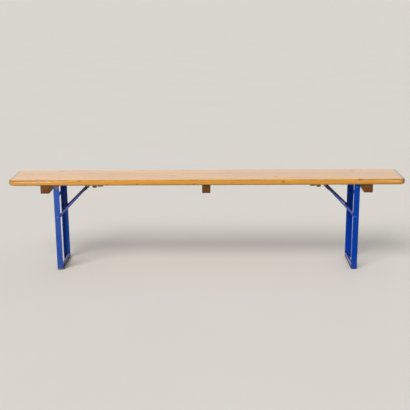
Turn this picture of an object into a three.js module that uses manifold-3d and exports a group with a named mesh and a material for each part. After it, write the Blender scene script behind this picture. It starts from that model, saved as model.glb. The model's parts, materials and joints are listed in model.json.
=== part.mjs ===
// Folding bench: a long varnished board on two steel leg frames that fold in under it.
// Millimetres, +X along the board, +Y to the back, +Z up. The origin is on the floor, under the
// middle of the board. The bench is the same at its two ends and at its front and back, so one
// corner and one end are drawn and the rest are their mirror images.
import * as THREE from "three";
import { mergeVertices } from "three/addons/utils/BufferGeometryUtils.js";
import Module from "manifold-3d";

// ---- driving dimensions ----------------------------------------------------------------------
const LENGTH = 2000; // board
const WIDTH = 250;
const SEAT_HEIGHT = 480;
const BOARD_T = 29;
const BOARD_CORNER_R = 34; // corner, seen from above
const BOARD_EDGE_R = 9; // rounding of the long and short edges

const CLEAT_H = 42; // cleats screwed across the underside
const CLEAT_W = 42;
const CLEAT_HALF_LENGTH = 114;
const END_CLEAT_OUT = 837.5; // outboard face of an end cleat
const END_CLEAT_IN = 795; // inboard end of its bottom face
const END_CLEAT_TOP_IN = 775.5; // where its chamfer meets the board

const ANGLE = 30; // rolled angle of the uprights
const STEEL = 3; // its thickness, and that of the brackets
const LEG_OUT = 775; // outboard face of a leg frame
const FRAME_HALF = 106; // front face of a leg frame to the middle of the bench

const HINGE_X = 758; // leg hinge
const HINGE_Z = 437;
const HINGE_EAR_R = 12;
const LEG_TOP_R = 13; // rounding of an upright's top, round the hinge
const LEG_TOP_Z = 450;
const FOOT_CORNER_R = 6; // rounding of the inboard corner of a foot

const BRACE_PIVOT_Z = 280; // brace pivot on the leg, straight under the hinge
const BRACE_TIP_X = 611; // cross pin through the tips of the two braces
const BRACE_TIP_Z = 429;
const BRACE_ROD_R = 5; // round bar
const BRACE_TAB_HALF = 8; // flattened ends
const BRACE_TAB_T = 4;
const BRACE_TIP_Y = 40; // the two tips stand this far each side of the middle

const PIN_R = 4; // rivets and the brace pin
const RUN = 0.3; // running gap round every pin and beside every moving face

const FOOT_BAR_IN = 745; // the small angle near the floor is flush with the uprights' inboard edges
const FOOT_BAR_OUT = 760; // and its top flange points outboard
const FOOT_BAR_TOP = 20;
const FOOT_BAR_LOW = 2;
const UPPER_BAR_LOW = 366;
const UPPER_BAR_TOP = 384;
const UPPER_BAR_T = 4;

const CATCH_T = 2.5; // sheet of the catch
const CHEEK_IN = 13; // inner face of a cheek
const LATCH_X = 551; // pivot of the latch lever
const LATCH_Z = 434;
const LATCH_PIN_R = 3;
const LATCH_T = 6;
const SLEEVE_R = 4.7;
const TAB_LOW = 423.5; // lower edge of the finger tabs
const TAB_Y = 47; // the tabs hang outside the braces
const TAB_INNER = 561;
const TAB_OUTER = 585;
const EAR_LOW = 421.5; // the catch's two ears carry the lever's pivot
const EAR_INNER = 533;
const EAR_OUTER = 563.5;

const SCREW_SHANK_R = 2.2;
const SCREW_HOLE_R = 2.6;

const UNDERSIDE = SEAT_HEIGHT - BOARD_T;

// ---- materials --------------------------------------------------------------------------------
const varnishedPine = () =>
  new THREE.MeshStandardMaterial({ color: 0xd99a4e, roughness: 0.32, metalness: 0 });
const stainedWood = () =>
  new THREE.MeshStandardMaterial({ color: 0x6e4119, roughness: 0.6, metalness: 0 });
const bluePaint = () =>
  new THREE.MeshStandardMaterial({ color: 0x1440a8, roughness: 0.35, metalness: 0 });
const zincSteel = () =>
  new THREE.MeshStandardMaterial({ color: 0x9a968c, roughness: 0.45, metalness: 1 });

// ---- helpers ----------------------------------------------------------------------------------
const wasm = await Module();
wasm.setup();

function solid(geometry) {
  const bare = geometry.index ? geometry.toNonIndexed() : geometry.clone();
  for (const key of Object.keys(bare.attributes)) if (key !== "position") bare.deleteAttribute(key);
  const merged = mergeVertices(bare, 1e-4);
  return new wasm.Manifold(
    new wasm.Mesh({
      numProp: 3,
      vertProperties: new Float32Array(merged.attributes.position.array),
      triVerts: new Uint32Array(merged.index.array),
    }),
  );
}

function geometryOf(manifold) {
  const mesh = manifold.getMesh();
  const geometry = new THREE.BufferGeometry();
  geometry.setAttribute("position", new THREE.BufferAttribute(new Float32Array(mesh.vertProperties), 3));
  geometry.setIndex(new THREE.BufferAttribute(new Uint32Array(mesh.triVerts), 1));
  geometry.computeVertexNormals();
  return geometry;
}

function fuse(...parts) {
  return parts.map((p) => (p instanceof THREE.BufferGeometry ? solid(p) : p)).reduce((a, b) => a.add(b));
}

function cut(body, ...tools) {
  let result = body instanceof THREE.BufferGeometry ? solid(body) : body;
  for (const tool of tools) result = result.subtract(tool instanceof THREE.BufferGeometry ? solid(tool) : tool);
  return result;
}

function block(x0, x1, y0, y1, z0, z1) {
  return new THREE.BoxGeometry(x1 - x0, y1 - y0, z1 - z0).translate((x0 + x1) / 2, (y0 + y1) / 2, (z0 + z1) / 2);
}

// A plate whose outline is drawn in X and Z and that is y0 to y1 thick.
function plate(outline, y0, y1, curveSegments = 8) {
  return new THREE.ExtrudeGeometry(outline, { depth: y1 - y0, bevelEnabled: false, curveSegments })
    .rotateX(Math.PI / 2)
    .translate(0, y1, 0);
}

function polygon(points) {
  return new THREE.Shape(points.map(([x, z]) => new THREE.Vector2(x, z)));
}

// A round bar or drill along Y or along Z.
function barY(x, z, r, y0, y1, sides = 16) {
  return new THREE.CylinderGeometry(r, r, y1 - y0, sides).translate(x, (y0 + y1) / 2, z);
}
function barZ(x, y, r, z0, z1, sides = 12) {
  return new THREE.CylinderGeometry(r, r, z1 - z0, sides).rotateX(Math.PI / 2).translate(x, y, (z0 + z1) / 2);
}

// A turned piece along +Y: profile points are [radius, height].
function turned(profile, sides) {
  return new THREE.LatheGeometry(profile.map(([r, h]) => new THREE.Vector2(r, h)), sides);
}

// ---- scene graph -------------------------------------------------------------------------------
const bench = new THREE.Group();
bench.name = "folding_bench";

function piece(parent, name, shape, material) {
  const mesh = new THREE.Mesh(shape instanceof THREE.BufferGeometry ? shape : geometryOf(shape), material);
  mesh.name = name;
  parent.add(mesh);
  return mesh;
}

function mirrored(sx, sy) {
  const group = new THREE.Group();
  group.scale.set(sx, sy, 1);
  bench.add(group);
  return group;
}

// ---- screws ------------------------------------------------------------------------------------
// Where each screw goes up into the board: [x, y, top of its shank].
const SCREW_TOP = UNDERSIDE + 19;
const BRACKET_SCREWS = [
  [755, -93],
  [755, -77],
];
const CATCH_SCREWS = [528, 652];
const CLEAT_SCREW_Y = 78;
const END_CLEAT_SCREW_X = (END_CLEAT_OUT + END_CLEAT_IN) / 2;

// A pan-headed wood screw standing up along +Z, with its head under z = seat.
function screw(x, y, seat, top, headR = 4.5, headH = 2.6) {
  return turned(
    [
      [0, -headH],
      [headR * 0.62, -headH],
      [headR * 0.93, -headH * 0.62],
      [headR, -0.2],
      [headR, 0],
      [SCREW_SHANK_R, 0],
      [SCREW_SHANK_R, top - seat - 5],
      [0, top - seat],
    ],
    14,
  )
    .rotateX(Math.PI / 2)
    .translate(x, y, seat);
}

// ---- board -------------------------------------------------------------------------------------
{
  const outline = new THREE.Shape();
  const [a, b, r] = [LENGTH / 2, WIDTH / 2, BOARD_CORNER_R];
  outline.moveTo(-a + r, -b);
  outline.lineTo(a - r, -b);
  outline.absarc(a - r, -b + r, r, -Math.PI / 2, 0, false);
  outline.lineTo(a, b - r);
  outline.absarc(a - r, b - r, r, 0, Math.PI / 2, false);
  outline.lineTo(-a + r, b);
  outline.absarc(-a + r, b - r, r, Math.PI / 2, Math.PI, false);
  outline.lineTo(-a, -b + r);
  outline.absarc(-a + r, -b + r, r, Math.PI, Math.PI * 1.5, false);
  const slab = new THREE.ExtrudeGeometry(outline, {
    depth: BOARD_T - 2 * BOARD_EDGE_R,
    bevelEnabled: true,
    bevelSize: BOARD_EDGE_R,
    bevelThickness: BOARD_EDGE_R,
    bevelOffset: -BOARD_EDGE_R,
    bevelSegments: 6,
    curveSegments: 10,
  }).translate(0, 0, UNDERSIDE + BOARD_EDGE_R);
  const pilots = [];
  const pilot = (x, y) => pilots.push(barZ(x, y, SCREW_HOLE_R, UNDERSIDE - 2, SCREW_TOP + 1, 10));
  for (const sx of [-1, 1]) {
    for (const sy of [-1, 1]) for (const [x, y] of BRACKET_SCREWS) pilot(sx * x, -sy * y);
    for (const x of CATCH_SCREWS) pilot(sx * x, 0);
    for (const y of [-CLEAT_SCREW_Y, CLEAT_SCREW_Y]) pilot(sx * END_CLEAT_SCREW_X, y);
  }
  for (const y of [-CLEAT_SCREW_Y, CLEAT_SCREW_Y]) pilot(0, y);
  piece(bench, "seat_board", cut(slab, ...pilots), varnishedPine());
}

// ---- cleats ------------------------------------------------------------------------------------
const CLEAT_LOW = UNDERSIDE - CLEAT_H;
const COUNTERBORE = 6;

function cleat(outline, screwX) {
  const holes = [-CLEAT_SCREW_Y, CLEAT_SCREW_Y].flatMap((y) => [
    barZ(screwX, y, SCREW_HOLE_R, CLEAT_LOW - 2, UNDERSIDE + 2, 10),
    barZ(screwX, y, 5.4, CLEAT_LOW - 2, CLEAT_LOW + COUNTERBORE, 14),
  ]);
  return cut(plate(polygon(outline), -CLEAT_HALF_LENGTH, CLEAT_HALF_LENGTH), ...holes);
}
function cleatScrews(parent, name, x) {
  for (const [end, y] of [
    ["front", -CLEAT_SCREW_Y],
    ["rear", CLEAT_SCREW_Y],
  ])
    piece(parent, `${name}_screw_${end}`, screw(x, y, CLEAT_LOW + COUNTERBORE, SCREW_TOP), zincSteel());
}
piece(
  bench,
  "centre_cleat",
  cleat(
    [
      [-CLEAT_W / 2, CLEAT_LOW],
      [CLEAT_W / 2, CLEAT_LOW],
      [CLEAT_W / 2, UNDERSIDE],
      [-CLEAT_W / 2, UNDERSIDE],
    ],
    0,
  ),
  stainedWood(),
);
cleatScrews(bench, "centre_cleat", 0);

// ---- one corner: upright, hinge bracket and brace ----------------------------------------------
// Drawn for the front right corner, where the frame's front face is at y = -FRAME_HALF.
const FLANGE_IN = -FRAME_HALF + STEEL; // inner face of the flange that faces the front
const WEB_IN = LEG_OUT - STEEL; // inner face of the outboard flange
const EAR_OUT = FLANGE_IN + RUN;
const EAR_IN = EAR_OUT + STEEL;

function upright() {
  const flange = new THREE.Shape();
  const x0 = LEG_OUT - ANGLE;
  flange.moveTo(x0 + FOOT_CORNER_R, 0);
  flange.lineTo(LEG_OUT, 0);
  flange.lineTo(LEG_OUT, LEG_TOP_Z);
  flange.lineTo(HINGE_X, LEG_TOP_Z);
  flange.absarc(HINGE_X, HINGE_Z, LEG_TOP_R, Math.PI / 2, Math.PI, false);
  flange.lineTo(x0, FOOT_CORNER_R);
  flange.absarc(x0 + FOOT_CORNER_R, FOOT_CORNER_R, FOOT_CORNER_R, Math.PI, Math.PI * 1.5, false);
  return cut(
    fuse(
      plate(flange, -FRAME_HALF, FLANGE_IN, 10),
      block(WEB_IN, LEG_OUT, -FRAME_HALF, -FRAME_HALF + ANGLE, 0, LEG_TOP_Z),
    ),
    barY(HINGE_X, HINGE_Z, PIN_R + RUN, -FRAME_HALF - 1, FLANGE_IN + 1),
    barY(HINGE_X, BRACE_PIVOT_Z, PIN_R + RUN, -FRAME_HALF - 1, FLANGE_IN + 1),
  );
}

function hingeBracket() {
  const ear = new THREE.Shape();
  ear.moveTo(HINGE_X - HINGE_EAR_R, UNDERSIDE);
  ear.lineTo(HINGE_X - HINGE_EAR_R, HINGE_Z);
  ear.absarc(HINGE_X, HINGE_Z, HINGE_EAR_R, Math.PI, Math.PI * 2, false);
  ear.lineTo(HINGE_X + HINGE_EAR_R, UNDERSIDE);
  ear.lineTo(HINGE_X - HINGE_EAR_R, UNDERSIDE);
  return cut(
    fuse(plate(ear, EAR_OUT, EAR_IN, 10), block(741, HINGE_X + HINGE_EAR_R, EAR_OUT, -68, UNDERSIDE - STEEL, UNDERSIDE)),
    barY(HINGE_X, HINGE_Z, PIN_R + RUN, EAR_OUT - 1, EAR_IN + 1),
    ...BRACKET_SCREWS.map(([x, y]) => barZ(x, y, SCREW_HOLE_R, UNDERSIDE - STEEL - 1, UNDERSIDE + 1)),
  );
}

// A rivet along +Y from a domed head outside the frame to a flat head at `inner`.
function rivet(z, headR, inner, tailR) {
  const outer = -FRAME_HALF;
  return turned(
    [
      [0, -3.4],
      [headR * 0.45, -3.15],
      [headR * 0.8, -2.1],
      [headR, -0.6],
      [headR, 0],
      [PIN_R, 0],
      [PIN_R, inner + 0.2 - outer],
      [tailR, inner + 0.2 - outer],
      [tailR, inner + 1.6 - outer],
      [tailR * 0.7, inner + 2.4 - outer],
      [0, inner + 2.6 - outer],
    ],
    18,
  ).translate(HINGE_X, outer, z);
}

// The brace: a round bar hammered flat at both ends, cranked so that its ends lie flat against
// the upright and square on the cross pin that joins the two braces.
const BRACE_RISE = BRACE_TIP_Z - BRACE_PIVOT_Z;
const BRACE_RUN = HINGE_X - BRACE_TIP_X;
const BRACE_LENGTH = Math.hypot(BRACE_RISE, BRACE_RUN);
const BRACE_SLOPE = Math.atan2(BRACE_RISE, BRACE_RUN);

function brace() {
  const y0 = FLANGE_IN + RUN + BRACE_TAB_T / 2;
  const travel = -BRACE_TIP_Y - y0;
  const smooth = (v) => {
    const c = Math.min(1, Math.max(0, v));
    return c * c * (3 - 2 * c);
  };
  const lean = (t) => smooth((t - 11) / 12) * (1 - smooth((t - (BRACE_LENGTH - 23)) / 12));
  // the crank's sideways path, summed up along the bar
  const FINE = 2000;
  const t0 = -BRACE_TAB_HALF;
  const t1 = BRACE_LENGTH + BRACE_TAB_HALF;
  const sums = [0];
  for (let i = 1; i <= FINE; i++) sums.push(sums[i - 1] + lean(t0 + ((i - 0.5) / FINE) * (t1 - t0)));
  const scale = travel / sums[FINE];
  const sideways = (t) => y0 + scale * sums[Math.round(((t - t0) / (t1 - t0)) * FINE)];
  const slope = (t) => (scale * lean(t) * FINE) / (t1 - t0);
  const near = [-7.75, -7.2, -6, -4, 0, 6, 12, 17, 21, 27, 35];
  const stations = [...near, ...near.map((t) => BRACE_LENGTH - t).reverse()];
  const rings = stations.length - 1;
  const bar = new THREE.CylinderGeometry(1, 1, rings, 16, rings);
  const p = bar.attributes.position;
  for (let i = 0; i < p.count; i++) {
    const t = stations[Math.round(p.getY(i) + rings / 2)];
    const d = Math.min(t, BRACE_LENGTH - t); // from the nearer pivot
    const k = smooth((d - 15) / 20); // 0 flat, 1 round
    const half = d < 0 ? Math.sqrt(BRACE_TAB_HALF ** 2 - d * d) : BRACE_TAB_HALF;
    const e = 0.38 + 0.62 * k;
    const pull = (c) => (Math.abs(c) < 1e-6 ? 0 : Math.sign(c) * Math.pow(Math.abs(c), e));
    const w = pull(p.getX(i)) * (half + (BRACE_ROD_R - half) * k);
    const v = -pull(p.getZ(i)) * (BRACE_TAB_T / 2 + (BRACE_ROD_R - BRACE_TAB_T / 2) * k);
    const s = slope(t);
    const n = Math.hypot(1, s);
    const along = t - (v * s) / n;
    p.setXYZ(
      i,
      HINGE_X - along * Math.cos(BRACE_SLOPE) + w * Math.sin(BRACE_SLOPE),
      sideways(t) + v / n,
      BRACE_PIVOT_Z + along * Math.sin(BRACE_SLOPE) + w * Math.cos(BRACE_SLOPE),
    );
  }
  return cut(
    bar,
    barY(HINGE_X, BRACE_PIVOT_Z, PIN_R + RUN, -FRAME_HALF, -FRAME_HALF + 12),
    barY(BRACE_TIP_X, BRACE_TIP_Z, PIN_R + RUN, -BRACE_TIP_Y - 6, -BRACE_TIP_Y + 6),
  );
}

for (const [side, sx] of [
  ["right", 1],
  ["left", -1],
])
  for (const [end, sy] of [
    ["front", 1],
    ["rear", -1],
  ]) {
    const corner = mirrored(sx, sy);
    const name = `${side}_${end}`;
    piece(corner, `${name}_upright`, upright(), bluePaint());
    piece(corner, `${name}_hinge_bracket`, hingeBracket(), zincSteel());
    BRACKET_SCREWS.forEach(([x, y], i) =>
      piece(corner, `${name}_bracket_screw_${i + 1}`, screw(x, y, UNDERSIDE - STEEL, SCREW_TOP), zincSteel()),
    );
    piece(corner, `${name}_hinge_rivet`, rivet(HINGE_Z, 9, EAR_IN, 7), bluePaint());
    piece(corner, `${name}_brace`, brace(), bluePaint());
    piece(corner, `${name}_brace_rivet`, rivet(BRACE_PIVOT_Z, 8, FLANGE_IN + RUN + BRACE_TAB_T, 6.5), bluePaint());
  }

// ---- one end: crossbars, catch and latch --------------------------------------------------------
// Drawn for the right end.
const BAR_END = FRAME_HALF - STEEL;

function footBar() {
  return fuse(
    block(FOOT_BAR_IN, FOOT_BAR_IN + STEEL, -BAR_END, BAR_END, FOOT_BAR_LOW, FOOT_BAR_TOP),
    block(FOOT_BAR_IN, FOOT_BAR_OUT, -BAR_END, BAR_END, FOOT_BAR_TOP - STEEL, FOOT_BAR_TOP),
  );
}

const PLATE_LOW = UNDERSIDE - CATCH_T;
const EXIT = (17.5 * Math.PI) / 180; // the way the pin leaves the jaw, below the level

function catchBracket() {
  const jaw = polygon([
    [602.5, PLATE_LOW + 1],
    [602.5, 431],
    [605, 418],
    [618, 418],
    [640, 436],
    [640, PLATE_LOW + 1],
  ]);
  const ear = polygon([
    [EAR_INNER, PLATE_LOW + 1],
    [EAR_INNER, EAR_LOW + 3],
    [EAR_INNER + 3, EAR_LOW],
    [EAR_OUTER - 3, EAR_LOW],
    [EAR_OUTER, EAR_LOW + 3],
    [EAR_OUTER, PLATE_LOW + 1],
  ]);
  const slotReach = 40;
  const slot = (y0, y1) =>
    fuse(
      barY(BRACE_TIP_X, BRACE_TIP_Z, 4.8, y0, y1, 20),
      plate(
        polygon(
          [
            [0, 4.8],
            [0, -4.8],
            [-slotReach, -4.8],
            [-slotReach, 4.8],
          ].map(([a, b]) => [
            BRACE_TIP_X + a * Math.cos(EXIT) - b * Math.sin(EXIT),
            BRACE_TIP_Z + a * Math.sin(EXIT) + b * Math.cos(EXIT),
          ]),
        ),
        y0,
        y1,
      ),
    );
  const out = CHEEK_IN + CATCH_T;
  const parts = [block(518, 662, -out, out, PLATE_LOW, UNDERSIDE)];
  const slots = [];
  for (const [y0, y1] of [
    [-out, -CHEEK_IN],
    [CHEEK_IN, out],
  ]) {
    parts.push(plate(jaw, y0, y1), plate(ear, y0, y1));
    slots.push(slot(y0 - 1, y1 + 1));
  }
  return cut(
    fuse(...parts),
    ...slots,
    barY(LATCH_X, LATCH_Z, LATCH_PIN_R + RUN, -out - 1, out + 1),
    ...CATCH_SCREWS.map((x) => barZ(x, 0, SCREW_HOLE_R, PLATE_LOW - 1, UNDERSIDE + 1)),
  );
}

// The latch lever: a flat arm on a sleeve, with a heel that stops it against the plate above, a
// ramp that rides over the brace pin and two finger tabs that hang beside the braces.
function latchLever() {
  const arm = polygon([
    [LATCH_X - 6, LATCH_Z - 3],
    [LATCH_X + 2, LATCH_Z - 6.4],
    [LATCH_X + 14, 427.6],
    [580, 427.6],
    [606.3, 432.9],
    [606.3, 439.5],
    [572, 440.6],
    [LATCH_X + 2, 442],
    [LATCH_X - 5, PLATE_LOW - RUN],
    [LATCH_X - 12, PLATE_LOW - RUN],
    [LATCH_X - 12, 441],
  ]);
  const out = TAB_Y + CATCH_T;
  const tabs = [
    [-out, -TAB_Y],
    [TAB_Y, out],
  ].map(([y0, y1]) => {
    const tab = polygon([
      [TAB_INNER, 439],
      [TAB_INNER, TAB_LOW + 4],
      [TAB_INNER + 4, TAB_LOW],
      [TAB_OUTER - 4, TAB_LOW],
      [TAB_OUTER, TAB_LOW + 4],
      [TAB_OUTER, 439],
    ]);
    return plate(tab, y0, y1);
  });
  return cut(
    fuse(
      plate(arm, -LATCH_T / 2, LATCH_T / 2),
      barY(LATCH_X, LATCH_Z, SLEEVE_R, -CHEEK_IN + 0.5, CHEEK_IN - 0.5, 20),
      block(EAR_OUTER + 2, TAB_OUTER + 3, -out, out, 436.2, 439),
      ...tabs,
    ),
    barY(LATCH_X, LATCH_Z, LATCH_PIN_R + RUN, -CHEEK_IN - 1, CHEEK_IN + 1),
  );
}

// The torsion spring that presses the lever down, wound round its sleeve, with one leg on the
// tabs' bridge and the other up toward the plate.
function latchSpring() {
  const wire = 0.6;
  const [y0, turns] = [3.5, 6];
  const inner = SLEEVE_R + 0.2;
  const profile = [[inner, y0]];
  for (let i = 0; i < turns; i++) {
    const c = y0 + wire + i * 2 * wire;
    profile.push([inner + wire * 0.9, c - wire], [inner + 2 * wire, c - wire * 0.4], [inner + 2 * wire, c + wire * 0.4]);
  }
  const y1 = y0 + turns * 2 * wire;
  profile.push([inner + wire * 0.9, y1], [inner, y1], [inner, y0]);
  const leg = (x, z, y) => {
    const [dx, dz] = [x - LATCH_X, z - (LATCH_Z + inner + 0.5)];
    return new THREE.CylinderGeometry(0.55, 0.55, Math.hypot(dx, dz), 8)
      .rotateZ(-Math.PI / 2)
      .rotateY(-Math.atan2(dz, dx))
      .translate(LATCH_X + dx / 2, y, LATCH_Z + inner + 0.5 + dz / 2);
  };
  return fuse(
    turned(profile, 24).translate(LATCH_X, 0, LATCH_Z),
    leg(590, 440, y0 + 2 * wire + 0.07),
    leg(LATCH_X - 9, PLATE_LOW - RUN - wire, y1 - 2 * wire - 0.07),
  );
}

function headedPin(x, z, r, half, headR, headT, sides) {
  return turned(
    [
      [0, -half - headT],
      [headR * 0.8, -half - headT],
      [headR, -half - headT * 0.4],
      [headR, -half],
      [r, -half],
      [r, half],
      [headR, half],
      [headR, half + headT * 0.4],
      [headR * 0.8, half + headT],
      [0, half + headT],
    ],
    sides,
  ).translate(x, 0, z);
}

for (const [side, sx] of [
  ["right", 1],
  ["left", -1],
]) {
  const end = mirrored(sx, 1);
  piece(
    end,
    `${side}_end_cleat`,
    cleat(
      [
        [END_CLEAT_IN, CLEAT_LOW],
        [END_CLEAT_OUT, CLEAT_LOW],
        [END_CLEAT_OUT, UNDERSIDE],
        [END_CLEAT_TOP_IN, UNDERSIDE],
      ],
      END_CLEAT_SCREW_X,
    ),
    stainedWood(),
  );
  cleatScrews(end, `${side}_end_cleat`, END_CLEAT_SCREW_X);
  piece(end, `${side}_foot_bar`, footBar(), bluePaint());
  piece(
    end,
    `${side}_upper_bar`,
    block(WEB_IN - UPPER_BAR_T, WEB_IN, -BAR_END, BAR_END, UPPER_BAR_LOW, UPPER_BAR_TOP),
    bluePaint(),
  );
  piece(
    end,
    `${side}_brace_pin`,
    turned(
      [
        [0, -44.6],
        [4.8, -44.6],
        [5.6, -43.8],
        [5.6, -42.3],
        [PIN_R, -42.3],
        [PIN_R, -37.7],
        [5.6, -37.7],
        [5.6, -35.5],
        [PIN_R, -35],
        [PIN_R, 35],
        [5.6, 35.5],
        [5.6, 37.7],
        [PIN_R, 37.7],
        [PIN_R, 42.3],
        [5.6, 42.3],
        [5.6, 43.8],
        [4.8, 44.6],
        [0, 44.6],
      ],
      20,
    ).translate(BRACE_TIP_X, 0, BRACE_TIP_Z),
    zincSteel(),
  );
  piece(end, `${side}_catch_bracket`, catchBracket(), zincSteel());
  ["inner", "outer"].forEach((where, i) =>
    piece(end, `${side}_catch_screw_${where}`, screw(CATCH_SCREWS[i], 0, PLATE_LOW, SCREW_TOP), zincSteel()),
  );
  piece(end, `${side}_latch_lever`, latchLever(), zincSteel());
  piece(
    end,
    `${side}_latch_pivot`,
    headedPin(LATCH_X, LATCH_Z, LATCH_PIN_R, CHEEK_IN + CATCH_T + 0.1, 4.6, 1.6, 16),
    zincSteel(),
  );
  piece(end, `${side}_latch_spring`, latchSpring(), zincSteel());
}

export default bench;
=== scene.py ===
import json
import math

import bmesh
import bpy
import numpy as np
from mathutils import Matrix, Vector

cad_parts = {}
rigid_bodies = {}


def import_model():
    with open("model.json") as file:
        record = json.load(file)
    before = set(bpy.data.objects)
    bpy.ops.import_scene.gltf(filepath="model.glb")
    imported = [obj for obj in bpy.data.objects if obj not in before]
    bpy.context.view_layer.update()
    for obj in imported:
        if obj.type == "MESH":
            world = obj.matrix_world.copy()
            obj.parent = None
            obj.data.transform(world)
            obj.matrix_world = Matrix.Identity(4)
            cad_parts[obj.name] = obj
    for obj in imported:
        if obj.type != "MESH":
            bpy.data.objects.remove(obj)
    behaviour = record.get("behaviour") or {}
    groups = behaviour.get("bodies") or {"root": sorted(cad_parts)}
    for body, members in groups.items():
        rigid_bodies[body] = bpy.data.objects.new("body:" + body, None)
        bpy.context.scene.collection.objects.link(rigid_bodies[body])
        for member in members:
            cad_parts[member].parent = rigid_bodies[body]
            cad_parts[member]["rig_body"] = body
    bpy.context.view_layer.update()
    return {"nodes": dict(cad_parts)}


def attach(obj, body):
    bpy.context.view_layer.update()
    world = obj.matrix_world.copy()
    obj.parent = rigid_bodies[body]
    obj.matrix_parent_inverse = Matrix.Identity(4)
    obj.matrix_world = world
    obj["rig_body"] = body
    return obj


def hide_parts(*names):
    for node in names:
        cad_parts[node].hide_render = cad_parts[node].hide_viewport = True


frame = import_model()
scene = bpy.context.scene
SIDES = (("right", 1), ("left", -1))
ENDS = (("front", 1), ("rear", -1))
MM = 0.001

# Light: a pale surround, and one large soft key light from the front and above.
WALL_FRONT, WALL_BACK, CEILING, WALL_TOP = 0.18, 0.82, 0.55, (0.30, 0.62)
KEY, KEY_SIZE, KEY_EL, KEY_AZ = 2.65, 36.0, 45.0, -28.0
PANE_POWER = 46.0

# Places that the model gives, in millimetres.
LENGTH, WIDTH, TOP, BOARD_T = 2000.0, 250.0, 480.0, 29.0
UNDERSIDE = TOP - BOARD_T
CORNER_R, EDGE_R = 34.0, 9.0
LEG_OUT, ANGLE, STEEL, FRAME_HALF = 775.0, 30.0, 3.0, 106.0
LEG_TOP_Z, LEG_TOP_R = 450.0, 13.0
HINGE = (758.0, 437.0)
BRACE_Z = 280.0
BRACE_TIP = (611.0, 429.0)
LATCH = (551.0, 434.0)
PLATE_LOW = UNDERSIDE - 2.5
CLEAT_H, END_CLEAT_X = 42.0, 816.25
FOOT_CORNER_R, FOOT_BAR_TOP = 6.0, 20.0
UPPER_BAR = (366.0, 384.0)


# ---------------------------------------------------------------------------------------------
# node graphs
# ---------------------------------------------------------------------------------------------
class Graph:
    """One material's node tree, with short calls for the nodes that are used here."""

    def __init__(self, name):
        self.mat = bpy.data.materials.new(name)
        self.mat.use_nodes = True
        self.tree = self.mat.node_tree
        self.tree.nodes.clear()
        self.out = self.add("ShaderNodeOutputMaterial")
        self.bsdf = self.add("ShaderNodeBsdfPrincipled")
        self.tree.links.new(self.bsdf.outputs[0], self.out.inputs["Surface"])
        self.p = self.add("ShaderNodeTexCoord").outputs["Object"]
        xyz = self.add("ShaderNodeSeparateXYZ")
        self.tree.links.new(self.p, xyz.inputs[0])
        self.x, self.y, self.z = xyz.outputs

    def add(self, kind, **props):
        node = self.tree.nodes.new(kind)
        for k, v in props.items():
            setattr(node, k, v)
        return node

    def put(self, socket, value):
        if isinstance(value, bpy.types.NodeSocket):
            self.tree.links.new(value, socket)
        elif value is not None:
            socket.default_value = value

    def m(self, op, a, b=None, c=None, clamp=False):
        node = self.add("ShaderNodeMath", operation=op, use_clamp=clamp)
        for i, v in enumerate((a, b, c)):
            self.put(node.inputs[i], v)
        return node.outputs[0]

    def plus(self, a, b):
        return self.m("ADD", a, b)

    def minus(self, a, b):
        return self.m("SUBTRACT", a, b)

    def times(self, a, b):
        return self.m("MULTIPLY", a, b)

    def vec(self, x, y, z):
        node = self.add("ShaderNodeCombineXYZ")
        for i, v in enumerate((x, y, z)):
            self.put(node.inputs[i], v)
        return node.outputs[0]

    def noise(self, vector, scale=1.0, detail=2.0, rough=0.5, distortion=0.0):
        node = self.add("ShaderNodeTexNoise")
        self.put(node.inputs["Vector"], vector)
        for key, v in (("Scale", scale), ("Detail", detail), ("Roughness", rough), ("Distortion", distortion)):
            node.inputs[key].default_value = v
        return node.outputs[0]

    def voronoi(self, vector, scale, feature="F1", randomness=1.0):
        node = self.add("ShaderNodeTexVoronoi", feature=feature)
        self.put(node.inputs["Vector"], vector)
        node.inputs["Scale"].default_value = scale
        node.inputs["Randomness"].default_value = randomness
        return node.outputs["Distance"]

    def span(self, value, lo, hi, to_lo=0.0, to_hi=1.0, smooth=True):
        node = self.add("ShaderNodeMapRange", interpolation_type="SMOOTHSTEP" if smooth else "LINEAR", clamp=True)
        for key, v in (("Value", value), ("From Min", lo), ("From Max", hi), ("To Min", to_lo), ("To Max", to_hi)):
            self.put(node.inputs[key], v)
        return node.outputs[0]

    def ramp(self, value, stops):
        node = self.add("ShaderNodeValToRGB")
        e = node.color_ramp.elements
        while len(e) < len(stops):
            e.new(0.5)
        for i, (pos, c) in enumerate(stops):
            e[i].position = pos
            e[i].color = (*c, 1.0) if len(c) == 3 else c
        self.put(node.inputs[0], value)
        return node.outputs[0]

    def mix(self, fac, a, b, mode="MIX"):
        node = self.add("ShaderNodeMix", data_type="RGBA", blend_type=mode, clamp_factor=True)
        self.put(node.inputs[0], fac)
        for i, v in ((6, a), (7, b)):
            self.put(node.inputs[i], (*v, 1.0) if isinstance(v, tuple) and len(v) == 3 else v)
        return node.outputs[2]

    def grey(self, value):
        return self.vec(value, value, value)

    def attribute(self, name):
        return self.add("ShaderNodeAttribute", attribute_name=name).outputs["Fac"]

    def bump(self, height, distance, strength=1.0, normal=None):
        node = self.add("ShaderNodeBump")
        node.inputs["Strength"].default_value = strength
        node.inputs["Distance"].default_value = distance
        self.put(node.inputs["Height"], height)
        if normal is not None:
            self.put(node.inputs["Normal"], normal)
        return node.outputs[0]

    def set(self, **values):
        for key, v in values.items():
            self.put(self.bsdf.inputs[key.replace("_", " ")], v)
        return self.mat


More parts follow.
